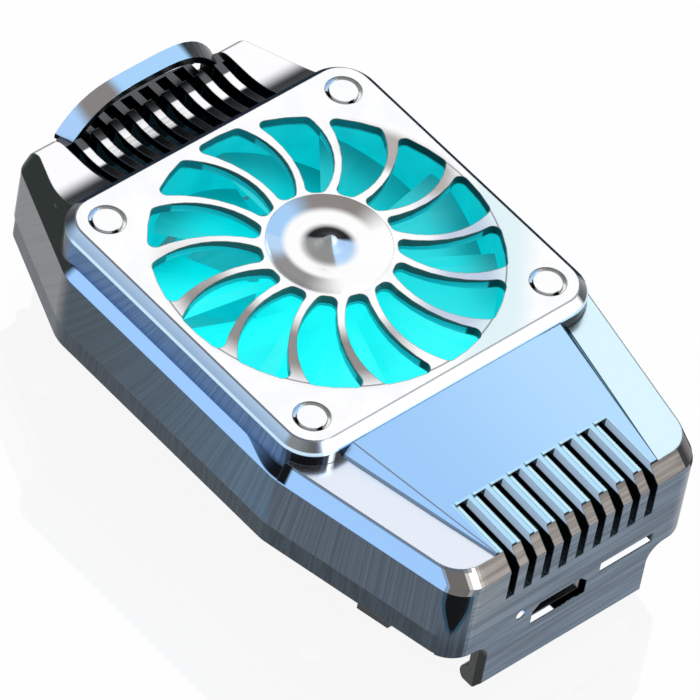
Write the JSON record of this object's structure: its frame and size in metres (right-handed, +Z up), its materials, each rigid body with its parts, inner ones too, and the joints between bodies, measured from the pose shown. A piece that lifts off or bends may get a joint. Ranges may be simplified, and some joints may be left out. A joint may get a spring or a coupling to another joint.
{
  "type": "clip-on phone cooling fan",
  "caption": "Clip-on phone cooler: plated shell with an axial fan under a curved grille, front vents and a sprung rear jaw that slides out to grip a phone.",
  "frame": {"origin": "middle of the bounding box, at the level of the jaw tips that the closed cooler stands on", "axes": "+Z up out of the grille, +Y towards the sliding rear jaw, +X to the right seen from the front end with the receptacle"},
  "size_m": [0.0426, 0.0712, 0.0254],
  "materials": {
    "plated_shell": "electroplated plastic, brushed on the walls",
    "plated_base": "dark electroplated plastic, brushed",
    "plated_cover": "satin electroplated plastic",
    "screw_steel": "zinc plated",
    "steel": "plain steel",
    "bronze": "sintered bronze",
    "copper": "enamelled copper wire",
    "fan_plastic": "translucent, lit cyan from the fan's lights",
    "black_plastic": "moulded",
    "clear_plastic": "clear",
    "circuit_board": "solder mask",
    "battery_foil": "laminated foil pouch",
    "tape": "amber film tape",
    "wire": "insulated wire",
    "spring_steel": "spring wire",
    "rubber": "soft black rubber"
  },
  "bodies": {
    "housing": {"upper_housing": "plated_shell", "lower_housing": "plated_base", "grille_cover": "plated_cover", "hub_cap": "plated_cover", "corner_caps": "plated_cover", "cover_screws": "screw_steel", "shell_screws": "screw_steel", "fan_frame": "black_plastic", "shaft_bearing": "bronze", "stator_core": "steel", "stator_coils": "copper", "fan_board": "circuit_board", "led_board": "circuit_board", "leds": "clear_plastic", "main_board": "circuit_board", "board_chips": "black_plastic", "usb_port": "steel", "usb_tongue": "black_plastic", "switch_body": "black_plastic", "indicator_light": "clear_plastic", "battery": "battery_foil", "battery_tape": "tape", "battery_leads": "wire", "fan_leads": "wire", "slide_springs": "spring_steel", "front_jaw_pad": "rubber", "seat_pads": "rubber", "foot_pads": "rubber"},
    "rotor": {"impeller": "fan_plastic", "rotor_yoke": "steel", "magnet_ring": "black_plastic", "rotor_shaft": "steel"},
    "slider": {"rear_jaw": "plated_shell", "rear_jaw_pad": "rubber"},
    "switch": {"switch_knob": "black_plastic"}
  },
  "joints": [
    {"name": "impeller_spin", "type": "hinge", "parent": "housing", "child": "rotor", "pos_m": [0, 0.0049, 0.015], "axis": [0, 0, 1], "continuous": true},
    {"name": "jaw_slide", "type": "slide", "parent": "housing", "child": "slider", "axis": [0, 1, 0], "range_m": [0, 0.021], "stiffness_N_per_m": 200, "springref_m": -0.01, "deforming": ["slide_springs"]},
    {"name": "switch_slide", "type": "slide", "parent": "housing", "child": "switch", "axis": [1, 0, 0], "range_m": [0, 0.003]}
  ]
}
